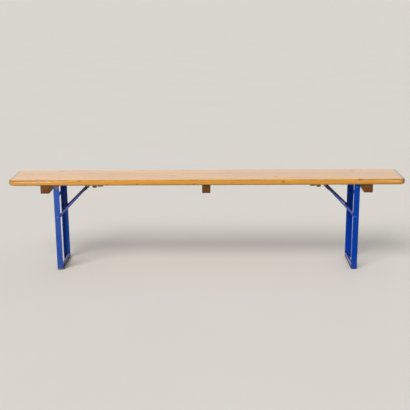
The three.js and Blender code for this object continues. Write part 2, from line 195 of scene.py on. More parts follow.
# ---------------------------------------------------------------------------------------------
# materials
# ---------------------------------------------------------------------------------------------
def painted_rim_shade(g, colour, rim):
    """Painted shade round the board's outline: a thin dark reflection line painted along the top
    arris, painted shade along the lower edge, the end grain darker with painted shade round the
    ends that grows towards the right, and the whole board painted lighter to the left and darker
    to the right as the light falls. rim is (top, underside, half length, half width)."""
    top, under, half_x, half_y = rim
    ax, ay = g.m("ABSOLUTE", g.x), g.m("ABSOLUTE", g.y)
    # Painted light: the board a little lighter towards the left end and darker towards the right.
    colour = g.mix(1.0, colour, g.grey(g.span(g.x, -half_x, 0.6 * half_x, 1.07, 0.95)), "MULTIPLY")
    # Painted reflection: a thin dark line along the top arris, stronger near the ends, for the darker band the rounded
    # edge reflects.
    uneven = g.noise(g.vec(g.times(g.x, 7.0), g.times(g.y, 7.0), 0.0), scale=3.0, detail=3.0)
    line = g.m("SUBTRACT", 1.0, g.times(g.m("ABSOLUTE", g.minus(g.z, top - 0.0036)), 1.0 / 0.0026), clamp=True)
    line = g.times(line, g.plus(g.span(ax, half_x - 0.32, half_x - 0.15, 0.22, g.span(g.x, -0.5, 0.5, 1.0, 0.62)), g.span(uneven, 0.35, 0.65, -0.15, 0.15)))
    colour = g.mix(line, colour, (0.16, 0.075, 0.016))
    # Painted shade along the lower edge, where the rounding turns under.
    outside = g.span(g.m("MAXIMUM", g.minus(ay, half_y), g.minus(ax, half_x)), -0.009, -0.006)
    low = g.times(g.span(g.z, under + 0.0035, g.span(g.x, 0.55, 0.85, under + 0.0080, under + 0.0125), 0.75, 0.0), outside)
    colour = g.mix(low, colour, (0.25, 0.13, 0.016))
    # Darker ends: the end grain itself, and painted shade round the end corners that grows stronger towards the right
    # end.
    end = g.times(g.span(g.minus(ax, half_x), -0.024, -0.010), g.span(g.x, -0.5, 0.5, 0.55, 0.88))
    return g.mix(end, colour, (0.125, 0.082, 0.018))


def wood(name, along, centre, strips, early, late, knot_colour, knots=(), spacing=0.0034, tone=0.16,
         grime=0.0, rough=(0.2, 0.36), coat=1.0, coat_rough=0.1, seed=0.0, rim=None):
    """Softwood with its growth rings in three dimensions, so that faces, edges and ends agree.

    along is the grain's axis. strips are glued lengths: (upper bound across, pith across, pith
    height, shade). knots are (place along, across, height, radii along, across and in height)."""
    g = Graph(name)
    a, b = (g.x, g.y) if along == "x" else (g.y, g.x)
    b = g.minus(b, centre)
    c = g.z
    # which glued strip this is
    pith_b, pith_c, shade, shift = strips[0][1], strips[0][2], strips[0][3], seed
    glue = None
    for i in range(1, len(strips)):
        edge = strips[i - 1][0]
        inside = g.m("GREATER_THAN", b, edge)
        pith_b = g.plus(pith_b, g.times(inside, strips[i][1] - strips[i - 1][1]))
        pith_c = g.plus(pith_c, g.times(inside, strips[i][2] - strips[i - 1][2]))
        shade = g.plus(shade, g.times(inside, strips[i][3] - strips[i - 1][3]))
        shift = g.plus(shift, g.times(inside, 3.7))
        line = g.span(g.m("ABSOLUTE", g.minus(b, edge)), 0.00015, 0.0007, 1.0, 0.0)
        glue = line if glue is None else g.m("MAXIMUM", glue, line)
    ax = g.plus(a, shift)
    wander_b = g.minus(g.noise(g.vec(g.times(ax, 1.25), shift, 0.0), detail=2.0), 0.5)
    wander_c = g.minus(g.noise(g.vec(g.times(ax, 0.9), 5.0, shift), detail=2.0), 0.5)
    bb = g.minus(g.minus(b, pith_b), g.times(wander_b, 0.07))
    cc = g.minus(g.minus(c, pith_c), g.times(wander_c, 0.055))
    r = g.m("SQRT", g.plus(g.times(bb, bb), g.times(cc, cc)))
    ripple = g.noise(g.vec(g.times(ax, 5.0), g.times(b, 26.0), g.times(c, 26.0)), detail=3.0)
    r = g.plus(r, g.times(g.minus(ripple, 0.5), 0.006))
    nearest = None
    for ka, kb, kc, ra, rb, rc in knots:
        da, db, dc = (g.times(g.minus(s, v), 1.0 / w) for s, v, w in ((a, ka, ra), (b, kb, rb), (c, kc, rc)))
        d = g.m("SQRT", g.plus(g.plus(g.times(da, da), g.times(db, db)), g.times(dc, dc)))
        # the rings part and flow round a knot
        push = g.m("EXPONENT", g.times(g.times(d, d), -0.22))
        r = g.plus(r, g.times(push, 2.2 * max(rb, rc)))
        nearest = d if nearest is None else g.m("MINIMUM", nearest, d)
    q = g.times(r, 1.0 / spacing)
    q = g.plus(q, g.times(g.noise(g.vec(g.times(r, 55.0), shift, 3.0), detail=1.0), 2.4))
    ring = g.m("FRACT", q)
    which = g.noise(g.vec(g.times(g.m("FLOOR", q), 0.73), 9.0, shift), scale=3.1, detail=0.0)
    band = g.ramp(ring, [(0.0, (0.02,) * 3), (0.42, (0.10,) * 3), (0.78, (0.55,) * 3), (0.93, (1.0,) * 3), (1.0, (0.02,) * 3)])
    band = g.times(band, g.span(which, 0.3, 0.7, 0.45, 1.0))
    fibre = g.noise(g.vec(g.times(ax, 14.0), g.times(b, 900.0), g.times(c, 900.0)), detail=2.0)
    patch = g.noise(g.vec(g.times(ax, 2.3), g.times(b, 11.0), g.times(c, 11.0)), detail=3.0)
    streak = g.noise(g.vec(g.times(ax, 3.0), g.times(b, 120.0), g.times(c, 120.0)), detail=2.0)
    colour = g.mix(band, early, late)
    level = g.plus(g.plus(shade, g.times(g.minus(patch, 0.5), tone * 2)), g.times(g.minus(fibre, 0.5), 0.22))
    level = g.plus(level, g.times(g.minus(streak, 0.5), 0.2))
    colour = g.mix(1.0, colour, g.grey(level), "MULTIPLY")
    if nearest is not None:
        halo = g.span(nearest, 0.9, 2.6, 0.42, 0.0)
        colour = g.mix(halo, colour, tuple(v * 0.8 for v in late))
        eye = g.plus(nearest, g.times(g.minus(g.noise(g.vec(g.times(a, 160.0), g.times(b, 160.0), g.times(c, 160.0)), detail=2.0), 0.5), 0.35))
        core = g.ramp(eye, [(0.0, tuple(v * 1.5 for v in knot_colour)), (0.5, knot_colour),
                            (0.86, tuple(v * 1.15 for v in knot_colour)), (0.97, tuple(v * 0.6 for v in knot_colour)),
                            (1.0, tuple(v * 0.65 for v in knot_colour))])
        colour = g.mix(g.span(eye, 0.97, 1.12, 1.0, 0.0), colour, core)
    if glue is not None:
        colour = g.mix(g.times(glue, 0.35), colour, tuple(v * 0.25 for v in late))
    # handling: rubs that run with the grain, small dark nicks and a little dirt in them
    rub = g.noise(g.vec(g.times(ax, 18.0), g.times(b, 240.0), g.times(c, 90.0)), detail=4.0, rough=0.7)
    rub = g.span(rub, 0.62, 0.72)
    nick = g.voronoi(g.vec(g.times(ax, 30.0), g.times(b, 55.0), g.times(c, 55.0)), 1.0)
    nick = g.span(nick, 0.035, 0.085, 1.0, 0.0)
    smear = g.noise(g.vec(g.times(ax, 5.0), g.times(b, 19.0), g.times(c, 31.0)), detail=5.0, rough=0.65)
    colour = g.mix(g.times(rub, 0.16), colour, tuple(min(1.0, v * 1.5 + 0.05) for v in early))
    colour = g.mix(g.times(nick, 0.6), colour, tuple(v * 0.3 for v in late))
    if grime:
        colour = g.mix(g.times(g.span(smear, 0.42, 0.75), grime), colour, (0.09, 0.06, 0.035))
    # Edges marked with wear go darker; the board's arrises carry wear values that make this a painted shade band along
    # them.
    worn = g.attribute("wear")
    edge = g.span(g.plus(worn, g.times(g.minus(smear, 0.5), 1.1)), 0.72, 1.25)
    colour = g.mix(g.times(edge, 0.5), colour, tuple(v * 0.45 for v in late))
    if rim:
        colour = painted_rim_shade(g, colour, rim)
    height = g.plus(g.times(band, 0.35), g.times(fibre, 0.12))
    height = g.minus(height, g.plus(g.times(nick, 1.6), g.times(rub, 0.25)))
    normal = g.bump(height, 0.00022, 0.55)
    roughness = g.span(g.plus(g.times(smear, 0.7), g.times(rub, 0.4)), 0.2, 0.9, *rough)
    mat = g.set(Base_Color=colour, Roughness=roughness, Normal=normal, Specular_IOR_Level=0.12,
                Coat_Weight=coat, Coat_Roughness=coat_rough, Coat_IOR=1.5)
    g.put(g.bsdf.inputs["Coat Normal"], g.bump(g.plus(g.times(smear, 1.0), g.times(rub, -0.35)), 0.0004, 0.35))
    return mat


def enamel(name, blue, front_lit_tone, seed=0.0, chips=1.0, dust=1.0, gloss=0.12, toe=None, bar=None, under_board_shade=None):
    """Brushed-on blue enamel over steel, with the wear that folding and stacking give it, and with
    light and shade painted into its colour.

    front_lit_tone is its colour at the front and blue its colour at the rear, which also tints the parts
    near the floor a little: the difference between them is painted light and shade. toe is a lighter
    colour along the inboard edge of the rear uprights' flange, below the board's shade: painted light.
    bar is for the bars near the floor: the colours of the top (dust and painted sheen), of its inboard
    strip (a painted highlight) and of the inboard side (painted shade). under_board_shade is the
    heights between which the ends under the board are painted near-black as shade."""
    g = Graph(name)
    p = g.vec(g.plus(g.x, seed), g.y, g.z)
    big = g.noise(p, scale=9.0, detail=4.0, rough=0.6)
    mid = g.noise(p, scale=70.0, detail=5.0, rough=0.65)
    fine = g.noise(p, scale=420.0, detail=4.0, rough=0.6)
    worn = g.attribute("wear")
    # where the enamel has gone: along the edges, in scattered chips, and round the feet
    chip = g.voronoi(p, 95.0)
    chip = g.times(g.span(chip, 0.10, 0.17, 1.0, 0.0), g.span(big, 0.56, 0.66))
    edge = g.plus(g.times(worn, 1.0), g.plus(g.times(g.minus(mid, 0.5), 1.5), g.times(g.minus(big, 0.5), 1.3)))
    bare = g.m("MAXIMUM", g.span(edge, 1.02, 1.10), g.times(chip, chips))
    rim = g.m("MAXIMUM", g.span(edge, 0.86, 1.04), g.times(g.span(g.voronoi(p, 95.0), 0.13, 0.26, 1.0, 0.0), g.times(g.span(big, 0.56, 0.66), chips)))
    thin = tuple(v * 0.55 for v in blue)
    # Painted light and shade: the front of a part takes front_lit_tone and the rear takes blue, with blue tinting the
    # feet a little.
    colour = g.mix(g.m("MAXIMUM", g.span(g.y, -0.10, 0.06), g.span(g.z, 0.05, 0.22, 0.22, 0.0)), front_lit_tone, blue)
    # Painted light: higher up, under the board, a little lighter.
    colour = g.mix(1.0, colour, g.grey(g.span(g.z, 0.28, 0.42, 1.0, 1.14)), "MULTIPLY")
    if toe is not None:
        # Painted light: the inboard edge of the rear uprights' flange lighter, cut off above where the board's shade
        # falls.
        rubbed = g.plus(g.m("ABSOLUTE", g.x), g.times(g.minus(mid, 0.5), 0.006))
        rubbed = g.times(g.span(rubbed, 0.7575, 0.7625, 1.0, 0.0), g.span(g.y, -0.06, 0.05))
        rubbed = g.times(rubbed, g.span(g.z, 0.27, 0.32, 1.0, 0.0))
        colour = g.mix(rubbed, colour, toe)
    if bar is not None:
        # The bars near the floor: a top of dust and painted sheen, a painted highlight along its inboard edge, and the
        # inboard side below painted dark as shade.
        uneven = g.times(g.minus(mid, 0.5), 0.004)
        strip = g.span(g.plus(g.m("ABSOLUTE", g.x), uneven), 0.7500, 0.7515, 1.0, 0.0)
        colour = g.mix(g.span(g.z, 0.0188, 0.0196), bar[2], g.mix(strip, bar[0], bar[1]))
    shade = g.plus(g.span(big, 0.35, 0.7, 0.9, 1.1), g.span(fine, 0.35, 0.7, -0.03, 0.05))
    colour = g.mix(1.0, colour, g.grey(shade), "MULTIPLY")
    scuff = g.noise(g.vec(g.times(g.x, 60.0), g.times(g.y, 60.0), g.times(g.z, 420.0)), detail=4.0, rough=0.7)
    scuff = g.span(scuff, 0.63, 0.72)
    colour = g.mix(g.times(scuff, 0.10), colour, (0.16, 0.22, 0.42))
    colour = g.mix(g.times(rim, 0.7), colour, thin)
    steel = g.mix(g.span(fine, 0.38, 0.62), (0.125, 0.135, 0.175), (0.235, 0.24, 0.275))
    rust = g.mix(g.span(mid, 0.4, 0.6), (0.12, 0.065, 0.03), (0.19, 0.12, 0.07))
    metal = g.mix(g.span(mid, 0.54, 0.70), steel, rust)
    colour = g.mix(bare, colour, metal)
    if under_board_shade is not None:
        # Painted shade: near-black where the braces' ends reach under the board.
        colour = g.mix(g.times(g.span(g.plus(g.z, g.times(g.minus(mid, 0.5), 0.012)), *under_board_shade), 0.8), colour, (0.020, 0.010, 0.006))
    low = g.span(g.z, 0.0, 0.075, 1.0, 0.0)
    dirt = g.times(g.times(low, g.span(mid, 0.35, 0.75)), 0.36 * dust)
    colour = g.mix(dirt, colour, (0.085, 0.078, 0.075))
    roughness = g.m("MAXIMUM", g.span(big, 0.3, 0.75, 0.24, 0.36), g.times(g.m("MAXIMUM", bare, dirt), 0.62))
    roughness = g.plus(roughness, g.times(scuff, 0.12))
    height = g.plus(g.times(fine, 0.30), g.times(g.noise(g.vec(g.times(g.x, 300.0), g.times(g.y, 300.0), g.times(g.z, 26.0)), detail=2.0), 0.5))
    height = g.minus(height, g.times(bare, 0.9))
    mat = g.set(Base_Color=colour, Roughness=roughness, Metallic=g.times(bare, 0.3), Normal=g.bump(height, 0.00012, 0.6),
                Specular_IOR_Level=gloss)
    return mat


def plated(name, colour, tarnish, seed=0.0, rust=0.25, metal=1.0):
    """Zinc-plated sheet or wire, dulled and spotted with age."""
    g = Graph(name)
    p = g.vec(g.plus(g.x, seed), g.y, g.z)
    big = g.noise(p, scale=45.0, detail=4.0, rough=0.6)
    fine = g.noise(p, scale=600.0, detail=3.0, rough=0.6)
    crystal = g.voronoi(p, 330.0)
    base = g.mix(g.span(big, 0.35, 0.65), colour, tarnish)
    base = g.mix(g.times(g.span(crystal, 0.1, 0.8), 0.25), base, tuple(min(1.0, v * 1.3) for v in colour))
    spot = g.times(g.span(g.plus(g.times(fine, 0.6), g.times(big, 0.6)), 0.66, 0.74), rust)
    base = g.mix(spot, base, (0.15, 0.06, 0.025))
    worn = g.attribute("wear")
    base = g.mix(g.times(g.span(worn, 0.4, 1.0), 0.6), base, tuple(min(1.0, v * 1.5) for v in colour))
    roughness = g.plus(g.span(big, 0.3, 0.7, 0.30, 0.48), g.times(spot, 0.4))
    return g.set(Base_Color=base, Metallic=g.times(g.minus(1.0, g.times(spot, 0.8)), metal), Roughness=roughness,
                 Normal=g.bump(g.plus(fine, g.times(crystal, 0.3)), 0.00008, 0.5))


def flat(name, colour, rough=0.7):
    g = Graph(name)
    big = g.noise(g.p, scale=1.3, detail=3.0)
    tint = g.mix(g.span(big, 0.3, 0.7), tuple(v * 0.985 for v in colour), colour)
    return g.set(Base_Color=tint, Roughness=rough, Specular_IOR_Level=0.3)


# Knots in the board: place along, across, height, radii along, across and in height. Metres.
BOARD_KNOTS = [
    (-0.764, 0.091, 0.480, 0.0085, 0.0060, 0.030),
    (-0.753, -0.063, 0.480, 0.0070, 0.0052, 0.026),
    (-0.608, 0.030, 0.480, 0.0078, 0.0058, 0.030),
    (-0.640, 0.098, 0.480, 0.0052, 0.0040, 0.030),
    (-0.346, 0.098, 0.480, 0.0065, 0.0046, 0.030),
    (-0.168, -0.030, 0.480, 0.0090, 0.0065, 0.030),
    (0.118, 0.052, 0.480, 0.0072, 0.0052, 0.030),
    (0.352, -0.052, 0.480, 0.0085, 0.0058, 0.030),
    (0.560, 0.020, 0.480, 0.0058, 0.0046, 0.030),
    (0.758, 0.072, 0.480, 0.0085, 0.0058, 0.030),
    (0.905, 0.018, 0.480, 0.0065, 0.0046, 0.030),
    (-0.905, 0.010, 0.480, 0.0058, 0.0046, 0.030),
    (-0.638, -0.125, 0.4755, 0.0045, 0.020, 0.0030),
    (-0.498, -0.125, 0.4565, 0.0055, 0.020, 0.0028),
    (-0.345, -0.125, 0.4580, 0.0040, 0.020, 0.0032),
    (0.386, -0.125, 0.4690, 0.0056, 0.024, 0.0040),
    (0.773, -0.125, 0.4775, 0.0085, 0.024, 0.0026),
    (-0.060, -0.125, 0.4570, 0.0050, 0.020, 0.0035),
    (0.150, 0.125, 0.4660, 0.0075, 0.024, 0.0050),
    (-0.420, 0.125, 0.4640, 0.0062, 0.020, 0.0042),
    (0.620, 0.125, 0.4680, 0.0070, 0.020, 0.0050),
    (-0.830, 0.125, 0.4600, 0.0055, 0.020, 0.0042),
]
BOARD_STRIPS = [
    (-0.040, -0.075, 0.395, 1.0),
    (0.046, 0.012, 0.430, 0.94),
    (1.0, 0.110, 0.405, 1.03),
]
PINE_EARLY, PINE_LATE, PINE_KNOT = (0.69, 0.312, 0.028), (0.49, 0.193, 0.013), (0.33, 0.125, 0.022)
BROWN_EARLY, BROWN_LATE, BROWN_KNOT = (0.205, 0.070, 0.010), (0.095, 0.030, 0.005), (0.03, 0.011, 0.005)
# Blues of the one enamel: BLUE_REAR lighter and BLUE_DEEP darker as painted light and shade on the rear uprights,
# BLUE_DUST_AND_SHEEN a dusty front with painted sheen.
BLUE = (0.0008, 0.044, 0.32)
BLUE_DUST_AND_SHEEN = (0.027, 0.082, 0.375)
BLUE_REAR = (0.0008, 0.046, 0.39)
BLUE_DEEP = (0.0022, 0.042, 0.30)

M = {
    "board": wood("varnished_pine", "x", 0.0, BOARD_STRIPS, PINE_EARLY, PINE_LATE, PINE_KNOT, BOARD_KNOTS, grime=0.10,
                  rim=(TOP * MM, UNDERSIDE * MM, LENGTH / 2 * MM, WIDTH / 2 * MM)),
    # Both frames wear the same paint; their front and rear colours differ as painted light and shade.
    "frame_right": enamel("blue_enamel_right", BLUE_REAR, BLUE, 7.7, chips=0.5, gloss=0.05),
    "frame_left": enamel("blue_enamel_left", BLUE_DEEP, BLUE_DUST_AND_SHEEN, 4.3, toe=(0.005, 0.068, 0.41)),
    # Bar colours (top, inboard edge, inboard side): the right top navy with a painted highlight, the left top lighter
    # with dust and painted sheen, both sides painted dark as shade.
    "bar_right": enamel("blue_enamel_low_bar_right", BLUE, BLUE, 1.7, chips=0.3, dust=0.3, gloss=0.08,
                        bar=((0.006, 0.030, 0.17), (0.24, 0.30, 0.56), (0.020, 0.022, 0.036))),
    "bar_left": enamel("blue_enamel_low_bar_left", BLUE, BLUE, 3.1, chips=0.3, dust=0.3, gloss=0.08,
                       bar=((0.125, 0.135, 0.26), (0.135, 0.146, 0.28), (0.020, 0.021, 0.030))),
    # Braces: the rear colour is painted shade from the board, the front colour painted light, and the ends under the
    # board painted near-black as shade.
    "braces": enamel("blue_enamel_braces", (0.003, 0.022, 0.155), (0.080, 0.099, 0.31), 2.6, under_board_shade=(0.412, 0.430)),
    # Rivet heads: glossier, with a lighter front colour as a painted glint.
    "rivet_right": enamel("blue_enamel_rivets_right", BLUE_REAR, (0.001, 0.062, 0.43), 7.7, chips=0.0, gloss=0.26),
    "rivet_left": enamel("blue_enamel_rivets_left", BLUE_DEEP, (0.034, 0.098, 0.43), 4.3, chips=0.0, gloss=0.4),
    "zinc": plated("yellow_zinc_plate", (0.165, 0.100, 0.012), (0.105, 0.058, 0.008), rust=0.6, metal=0.45),
    # The catch sheet's dark brown is rust and painted shade from the board above.
    "catch": plated("rusty_zinc_sheet_with_painted_shade", (0.125, 0.060, 0.011), (0.070, 0.032, 0.008), 5.0, rust=0.9, metal=0.35),
    "screws": plated("zinc_screws", (0.42, 0.40, 0.36), (0.27, 0.25, 0.22), 2.0),
}
for key, x, pith, knots in (
    ("centre", 0.0, 0.036, [(-0.035, -0.0205, 0.428, 0.006, 0.02, 0.005)]),
    ("right", 0.8163, -0.030, [(0.045, 0.0, 0.4090, 0.007, 0.008, 0.02)]),
    ("left", -0.8163, 0.024, [(-0.060, 0.020, 0.4300, 0.006, 0.02, 0.006)]),
):
    M["cleat_" + key] = wood(
        "stained_cleat_" + key, "y", x, [(1.0, pith, 0.385, 1.0)], BROWN_EARLY, BROWN_LATE, BROWN_KNOT, knots,
        spacing=0.0028, tone=0.2, grime=0.3, rough=(0.3, 0.5), coat=0.12, coat_rough=0.25, seed=x * 9 + 2.0,
    )


# ---------------------------------------------------------------------------------------------
# mesh helpers
# ---------------------------------------------------------------------------------------------
def made(name, verts, faces, material, body, replaces=(), wear=None, sharp=40.0):
    """A new piece from points in millimetres."""
    mesh = bpy.data.meshes.new(name)
    mesh.from_pydata([tuple(c * MM for c in v) for v in verts], [], faces)
    mesh.validate()
    if wear is not None:
        layer = mesh.attributes.new("wear", "FLOAT", "POINT")
        layer.data.foreach_set("value", np.asarray(wear, np.float32))
    bm = bmesh.new()
    bm.from_mesh(mesh)
    bmesh.ops.recalc_face_normals(bm, faces=bm.faces)
    bm.to_mesh(mesh)
    bm.free()
    return placed(name, mesh, material, body, replaces, sharp)


def placed(name, mesh, material, body, replaces=(), sharp=40.0):
    for poly in mesh.polygons:
        poly.use_smooth = True
    mesh.set_sharp_from_angle(angle=math.radians(sharp))
    obj = bpy.data.objects.new(name, mesh)
    scene.collection.objects.link(obj)
    mesh.materials.clear()
    mesh.materials.append(material)
    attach(obj, body)
    if replaces:
        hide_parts(*replaces)
    return obj


def grid(rows, cols, closed_cols=False):
    """Faces of a grid of points stored row by row."""
    faces = []
    for i in range(rows - 1):
        for j in range(cols if closed_cols else cols - 1):
            k = (j + 1) % cols
            faces.append((i * cols + j, i * cols + k, (i + 1) * cols + k, (i + 1) * cols + j))
    return faces


def softened(node, name, material, width, segments=2, angle=25.0, wear=1.0):
    """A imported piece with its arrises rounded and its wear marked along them."""
    src = frame["nodes"][node]
    bm = bmesh.new()
    bm.from_mesh(src.data)
    bmesh.ops.remove_doubles(bm, verts=bm.verts, dist=2e-6)
    bmesh.ops.dissolve_limit(bm, angle_limit=math.radians(1.0), verts=bm.verts, edges=bm.edges)
    bm.normal_update()
    hard = [e for e in bm.edges if e.is_manifold and e.calc_face_angle(0.0) > math.radians(angle)]
    old = set(bm.faces)
    res = bmesh.ops.bevel(bm, geom=hard, offset=width * MM, offset_type="OFFSET", segments=segments, profile=0.5,
                          affect="EDGES", clamp_overlap=True, material=-1)
    layer = bm.verts.layers.float.new("wear")
    for f in res["faces"]:
        for v in f.verts:
            v[layer] = wear
    bmesh.ops.triangulate(bm, faces=[f for f in bm.faces if len(f.verts) > 4])
    mesh = bpy.data.meshes.new(name)
    bm.to_mesh(mesh)
    bm.free()
    return placed(name, mesh, material, src["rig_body"], [node], 35.0)


# ---------------------------------------------------------------------------------------------
# the board
# ---------------------------------------------------------------------------------------------
def board():
    half_x, half_y = LENGTH / 2, WIDTH / 2
    r = EDGE_R
    inner_r = CORNER_R - r  # plan corner of the flat top
    ax, ay = half_x - r, half_y - r  # half sizes of the flat top

    def steps(half, corner, coarse, fine):
        inner = np.linspace(-(half - corner), half - corner, coarse)
        arc = half - corner + corner * np.linspace(0, 1, fine + 1)[1:]
        return np.concatenate([-arc[::-1], inner, arc])

    xs = steps(ax, inner_r, 321, 9)
    ys = steps(ay, inner_r, 31, 9)

    def plan(x, y):
        """A square corner is bent round into a quarter circle."""
        cx, cy = ax - inner_r, ay - inner_r
        u, v = (abs(x) - cx) / inner_r, (abs(y) - cy) / inner_r
        if u > 0 and v > 0:
            return (math.copysign(cx + inner_r * u * math.sqrt(1 - v * v / 2), x),
                    math.copysign(cy + inner_r * v * math.sqrt(1 - u * u / 2), y))
        return x, y

    nx, ny = len(xs), len(ys)
    pts = [plan(x, y) for x in xs for y in ys]
    index = lambda i, j: i * ny + j
    rim = ([index(i, 0) for i in range(nx)] + [index(nx - 1, j) for j in range(1, ny)]
           + [index(i, ny - 1) for i in range(nx - 2, -1, -1)] + [index(0, j) for j in range(ny - 2, 0, -1)])
    n = len(rim)
    cx, cy = ax - inner_r, ay - inner_r
    normals = []
    for k in rim:
        x, y = pts[k]
        dx, dy = max(0.0, abs(x) - cx), max(0.0, abs(y) - cy)
        if abs(x) <= cx:
            dx = 0.0
        if abs(y) <= cy:
            dy = 0.0
        h = math.hypot(dx, dy) or 1.0
        normals.append((math.copysign(dx / h, x), math.copysign(dy / h, y)))
    verts, wear = [], []

    def dent(x, y):
        # decades of sitting and stacking: hollows of a few tenths of a millimetre
        s = 0.0
        for fx, fy, p, q in ((0.0131, 0.031, 1.0, 0.3), (0.0287, 0.047, 2.1, 1.9), (0.0613, 0.089, 4.0, 0.7)):
            s += math.sin(x * fx + p) * math.cos(y * fy + q + 0.4 * math.sin(x * fx * 0.5))
        return max(0.0, 0.10 * s)

    for x, y in pts:
        edge = min(ax - abs(x), ay - abs(y))
        verts.append((x, y, TOP - dent(x, y) * min(1.0, edge / 12.0)))
        wear.append(max(0.0, 0.55 - edge * 0.06))
    loops = []
    # The rounding's wear: 0.9 between 20° and 75° of each arc, which the wood turns into a painted shade band, 0.6 on
    # the rest of the arcs and 0.35 on the flat edge.
    arc = [math.radians(a) for a in (12, 26, 40, 54, 68, 80, 90)]
    profile = [(r * math.sin(t), TOP - r + r * math.cos(t), 0.9 if 20 < math.degrees(t) < 75 else 0.6) for t in arc]
    straight = [TOP - r - (BOARD_T - 2 * r) * f for f in (0.33, 0.67)]
    profile += [(r, z, 0.35) for z in straight]
    profile += [(r * math.sin(t), UNDERSIDE + r - r * math.cos(t), 0.9 if 20 < math.degrees(t) < 75 else 0.6) for t in arc[::-1]]
    for out, z, w in profile:
        loop = []
        for k, (nxv, nyv) in zip(rim, normals):
            x, y = pts[k]
            loop.append(len(verts))
            verts.append((x + nxv * out, y + nyv * out, z))
            wear.append(w)
        loops.append(loop)
    low = len(verts)
    for x, y in pts:
        verts.append((x, y, UNDERSIDE))
        wear.append(0.0)
    faces = [tuple(f) for f in grid(nx, ny)]
    faces += [tuple(low + v for v in f[::-1]) for f in grid(nx, ny)]
    chain = [rim] + loops + [[low + k for k in rim]]
    for a, b in zip(chain, chain[1:]):
        for k in range(n):
            faces.append((a[k], a[(k + 1) % n], b[(k + 1) % n], b[k]))
    return made("board_wood", verts, faces, M["board"], "bench", ["seat_board"], wear, sharp=60.0)


board()

# ---------------------------------------------------------------------------------------------
# cleats
# ---------------------------------------------------------------------------------------------
for key, node in (("centre", "centre_cleat"), ("right", "right_end_cleat"), ("left", "left_end_cleat")):
    softened(node, node + "_wood", M["cleat_" + key], 1.3, 3)


# ---------------------------------------------------------------------------------------------
# uprights: rolled angle with its root fillet and rounded toes
# ---------------------------------------------------------------------------------------------
def angle_pairs():
    """Pairs of points, outer and inner, from the front flange's toe round to the web's toe."""
    x0, x1, y0, y1 = LEG_OUT - ANGLE, LEG_OUT, -FRAME_HALF, -FRAME_HALF + ANGLE
    pairs = []
    toe, root, heel = 1.9, 4.0, 1.1
    # front flange toe
    pairs.append(((x0, y0 + 0.5), (x0, y0 + STEEL - toe), 1.0))
    pairs.append(((x0 + 0.15, y0 + 0.15), (x0 + 0.35, y0 + STEEL - toe * 0.45), 1.0))
    pairs.append(((x0 + 0.5, y0), (x0 + 1.0, y0 + STEEL - 0.25), 0.95))
    pairs.append(((x0 + toe, y0), (x0 + toe, y0 + STEEL), 0.6))
    for x in np.arange(x0 + 3.4, x0 + 14.0, 1.5):
        pairs.append(((x, y0), (x, y0 + STEEL), 0.0))
    for x in (x0 + 17.0, x0 + 20.0):
        pairs.append(((x, y0), (x, y0 + STEEL), 0.0))
    cx, cy = x1 - STEEL - root, y0 + STEEL + root
    pairs.append(((x1 - 3.6, y0), (cx, y0 + STEEL), 0.0))
    for deg in (0, 18, 36, 54, 72, 90):
        t = math.radians(deg)
        pairs.append(((x1 - heel + heel * math.sin(t), y0 + heel - heel * math.cos(t)),
                      (cx + root * math.sin(t), cy - root * math.cos(t)), 0.85))
    pairs.append(((x1, y0 + 3.6), (x1 - STEEL, cy + 0.4), 0.0))
    for y in (y0 + 11.0, y0 + 15.0, y0 + 20.0, y0 + 25.0):
        pairs.append(((x1, y), (x1 - STEEL, y), 0.0))
    pairs.append(((x1, y1 - toe), (x1 - STEEL, y1 - toe), 0.6))
    pairs.append(((x1, y1 - 0.5), (x1 - STEEL + 0.25, y1 - 1.0), 0.95))
    pairs.append(((x1 - 0.15, y1 - 0.15), (x1 - STEEL + toe * 0.45, y1 - 0.35), 1.0))
    pairs.append(((x1 - 0.5, y1), (x1 - STEEL + toe, y1), 1.0))
    return pairs


def upright(side, end, sx, sy):
    pairs = angle_pairs()
    rubbed = (side, end) == ("left", "front")

    def top(x):
        d = HINGE[0] - x
        return LEG_TOP_Z if d <= 0 else HINGE[1] + math.sqrt(max(0.0, LEG_TOP_R**2 - d * d))

    levels = [0.0, 0.35, 1.2, 3.0, 6.0, 14.0] + list(np.linspace(30, 420, 27)) + [434.0]
    count = 2 * len(pairs)
    verts, wear = [], []

    corner = LEG_OUT - ANGLE + FOOT_CORNER_R

    def sole(x):
        # the inboard corner of the foot is rounded off
        d = corner - x
        return 0.0 if d <= 0 else FOOT_CORNER_R - math.sqrt(max(0.0, FOOT_CORNER_R**2 - d * d))

    def ring(zf, w, inset=0.0):
        for k in range(count):
            i = k if k < len(pairs) else count - 1 - k
            (ox, oy), (ix, iy), e = pairs[i]
            x, y = (ox, oy) if k < len(pairs) else (ix, iy)
            if inset:
                mx, my = (ox + ix) / 2, (oy + iy) / 2
                x, y = x + (mx - x) * inset, y + (my - y) * inset
            z = zf(x)
            verts.append((sx * x, sy * y, z))
            extra = 0.0
            if rubbed:
                # bare round the hinge, where the board has rubbed it, and just above the floor
                extra = 1.4 * min(1.0, max(0.0, (z - 427.0) / 11.0)) + 0.75 * min(1.0, max(0.0, (16.0 - z) / 10.0))
            wear.append(min(1.6, max(e * 0.66, w) + extra))

    for z in levels:
        w = 1.15 if z < 0.5 else (1.0 if z < 2 else (0.75 if z < 5 else (0.45 if z < 10 else 0.0)))
        ring(lambda x, z=z: z + sole(x) * max(0.0, 1 - z / 30.0), w, 0.16 if z == 0.0 else 0.0)
    for f, w, inset in ((0.55, 0.1, 0.0), (0.85, 0.35, 0.0), (0.97, 0.8, 0.0), (1.0, 0.9, 0.16)):
        ring(lambda x, f=f: 434.0 + (top(x) - 434.0) * f, w, inset)
    rows = len(verts) // count
    faces = grid(rows, count, closed_cols=True)
    n = len(pairs)
    for base in (0, (rows - 1) * count):
        for i in range(n - 1):
            faces.append((base + i, base + i + 1, base + count - 2 - i, base + count - 1 - i))
    return made(f"{side}_{end}_angle_iron", verts, faces, M["frame_" + side], f"leg_{side}", [f"{side}_{end}_upright"],
                wear, sharp=50.0)


